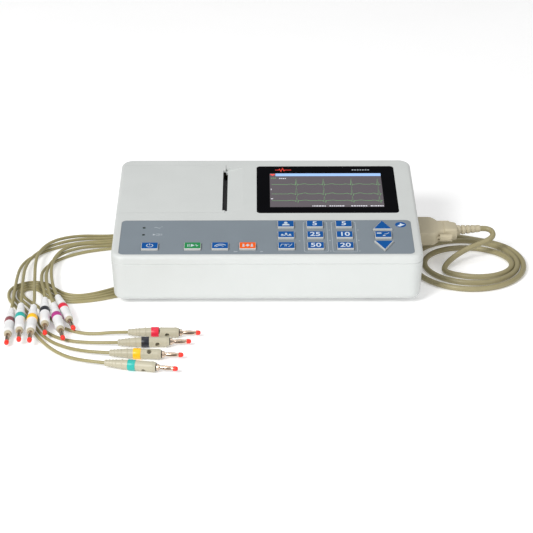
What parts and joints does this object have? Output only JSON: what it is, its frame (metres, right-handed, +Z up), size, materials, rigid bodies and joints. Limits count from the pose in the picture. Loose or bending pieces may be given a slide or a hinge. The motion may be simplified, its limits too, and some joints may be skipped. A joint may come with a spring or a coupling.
{
  "type": "ecg machine",
  "caption": "Portable ECG machine with colour screen, keypad, thermal printer and a ten-lead patient cable with banana plugs.",
  "frame": {"origin": "middle of the device's footprint on the surface that its feet stand on, without its cable", "axes": "+Z up, front with the keypad towards -Y, +X to the right seen from the front"},
  "size_m": [0.4989, 0.3922, 0.0677],
  "materials": {
    "case": "fine spark texture, satin",
    "panel": "printed film, satin",
    "bezel": "gloss",
    "screen": "gloss",
    "steel": "satin",
    "tray": "satin",
    "paper": "matt",
    "platen": "matt",
    "gear": "satin",
    "brass": "satin",
    "circuit_board": "satin",
    "battery_wrap": "satin",
    "black_plastic": "satin",
    "foot_rubber": "matt",
    "cable_plastic": "satin",
    "cable_jacket": "satin",
    "plug_white": "satin",
    "plug_beige": "satin",
    "pin_metal": "polished",
    "cap_red": "gloss",
    "key_cap": "satin"
  },
  "bodies": {
    "housing": {"lower_case": "case", "upper_case": "case", "keypad_panel": "panel", "display_bezel": "bezel", "lcd_panel": "screen", "stepper_motor": "steel", "print_head": "steel", "paper_tray": "tray", "main_board": "circuit_board", "keypad_board": "circuit_board", "battery_pack": "battery_wrap", "battery_cover": "case", "power_supply": "circuit_board", "mains_inlet": "black_plastic", "patient_socket": "steel", "rubber_feet": "foot_rubber", "case_screws": "steel", "patient_plug": "cable_plastic", "cable_relief": "cable_plastic", "trunk_lead_in": "cable_jacket", "trunk_coil": "cable_jacket", "trunk_run_out": "cable_jacket", "lead_yoke": "cable_plastic", "chest_plugs": "plug_white", "limb_plugs": "plug_beige", "plug_pins": "pin_metal", "pin_caps": "cap_red", "wire_r": "cable_jacket", "wire_n": "cable_jacket", "wire_l": "cable_jacket", "wire_f": "cable_jacket", "wire_c1": "cable_jacket", "wire_c6": "cable_jacket", "wire_c5": "cable_jacket", "wire_c2": "cable_jacket", "wire_c3": "cable_jacket", "wire_c4": "cable_jacket"},
    "door": {"printer_door": "case"},
    "platen": {"platen_roller": "platen", "platen_gear": "gear"},
    "pinion": {"motor_pinion": "brass"},
    "roll": {"paper_roll": "paper"},
    "front_screw": {"front_thumbscrew": "cable_plastic"},
    "rear_screw": {"rear_thumbscrew": "cable_plastic"},
    "power_key": {"power_key": "key_cap"},
    "start_key": {"start_key": "key_cap"},
    "cal_key": {"cal_key": "key_cap"},
    "stop_key": {"stop_key": "key_cap"},
    "patient_key": {"patient_key": "key_cap"},
    "lead_key": {"lead_key": "key_cap"},
    "mode_key": {"mode_key": "key_cap"},
    "speed_5_key": {"speed_5_key": "key_cap"},
    "speed_25_key": {"speed_25_key": "key_cap"},
    "speed_50_key": {"speed_50_key": "key_cap"},
    "gain_5_key": {"gain_5_key": "key_cap"},
    "gain_10_key": {"gain_10_key": "key_cap"},
    "gain_20_key": {"gain_20_key": "key_cap"},
    "up_key": {"up_key": "key_cap"},
    "menu_key": {"menu_key": "key_cap"},
    "down_key": {"down_key": "key_cap"}
  },
  "joints": [
    {"name": "power_key_press", "type": "slide", "parent": "housing", "child": "power_key", "axis": [0, 0.0847, -0.9964], "range_m": [0, 0.0015], "stiffness_N_per_m": 400},
    {"name": "start_key_press", "type": "slide", "parent": "housing", "child": "start_key", "axis": [0, 0.0847, -0.9964], "range_m": [0, 0.0015], "stiffness_N_per_m": 400},
    {"name": "cal_key_press", "type": "slide", "parent": "housing", "child": "cal_key", "axis": [0, 0.0847, -0.9964], "range_m": [0, 0.0015], "stiffness_N_per_m": 400},
    {"name": "stop_key_press", "type": "slide", "parent": "housing", "child": "stop_key", "axis": [0, 0.0847, -0.9964], "range_m": [0, 0.0015], "stiffness_N_per_m": 400},
    {"name": "patient_key_press", "type": "slide", "parent": "housing", "child": "patient_key", "axis": [0, 0.0847, -0.9964], "range_m": [0, 0.0015], "stiffness_N_per_m": 400},
    {"name": "lead_key_press", "type": "slide", "parent": "housing", "child": "lead_key", "axis": [0, 0.0847, -0.9964], "range_m": [0, 0.0015], "stiffness_N_per_m": 400},
    {"name": "mode_key_press", "type": "slide", "parent": "housing", "child": "mode_key", "axis": [0, 0.0847, -0.9964], "range_m": [0, 0.0015], "stiffness_N_per_m": 400},
    {"name": "speed_5_key_press", "type": "slide", "parent": "housing", "child": "speed_5_key", "axis": [0, 0.0847, -0.9964], "range_m": [0, 0.0015], "stiffness_N_per_m": 400},
    {"name": "speed_25_key_press", "type": "slide", "parent": "housing", "child": "speed_25_key", "axis": [0, 0.0847, -0.9964], "range_m": [0, 0.0015], "stiffness_N_per_m": 400},
    {"name": "speed_50_key_press", "type": "slide", "parent": "housing", "child": "speed_50_key", "axis": [0, 0.0847, -0.9964], "range_m": [0, 0.0015], "stiffness_N_per_m": 400},
    {"name": "gain_5_key_press", "type": "slide", "parent": "housing", "child": "gain_5_key", "axis": [0, 0.0847, -0.9964], "range_m": [0, 0.0015], "stiffness_N_per_m": 400},
    {"name": "gain_10_key_press", "type": "slide", "parent": "housing", "child": "gain_10_key", "axis": [0, 0.0847, -0.9964], "range_m": [0, 0.0015], "stiffness_N_per_m": 400},
    {"name": "gain_20_key_press", "type": "slide", "parent": "housing", "child": "gain_20_key", "axis": [0, 0.0847, -0.9964], "range_m": [0, 0.0015], "stiffness_N_per_m": 400},
    {"name": "up_key_press", "type": "slide", "parent": "housing", "child": "up_key", "axis": [0, 0.0847, -0.9964], "range_m": [0, 0.0015], "stiffness_N_per_m": 400},
    {"name": "menu_key_press", "type": "slide", "parent": "housing", "child": "menu_key", "axis": [0, 0.0847, -0.9964], "range_m": [0, 0.0015], "stiffness_N_per_m": 400},
    {"name": "down_key_press", "type": "slide", "parent": "housing", "child": "down_key", "axis": [0, 0.0847, -0.9964], "range_m": [0, 0.0015], "stiffness_N_per_m": 400},
    {"name": "door_slide", "type": "slide", "parent": "housing", "child": "door", "axis": [-1, 0, 0], "range_m": [0, 0.06]},
    {"name": "platen_spin", "type": "hinge", "parent": "door", "child": "platen", "pos_m": [-0.048, 0.03345, 0.0513], "axis": [0, 0.9964, 0.0847], "continuous": true},
    {"name": "pinion_spin", "type": "hinge", "parent": "housing", "child": "pinion", "pos_m": [-0.0389, 0.08327, 0.05554], "axis": [0, 0.9964, 0.0847], "continuous": true},
    {"name": "roll_spin", "type": "hinge", "parent": "housing", "child": "roll", "pos_m": [-0.095, 0.03523, 0.03038], "axis": [0, 0.9964, 0.0847], "continuous": true},
    {"name": "front_screw_turn", "type": "hinge", "parent": "housing", "child": "front_screw", "pos_m": [0.16, -0.0047, 0.027], "axis": [1, 0, 0], "continuous": true},
    {"name": "rear_screw_turn", "type": "hinge", "parent": "housing", "child": "rear_screw", "pos_m": [0.16, 0.0287, 0.027], "axis": [1, 0, 0], "continuous": true}
  ],
  "couplings": [
    {"joint": "pinion_spin", "follows": "platen_spin", "ratio": -2}
  ]
}
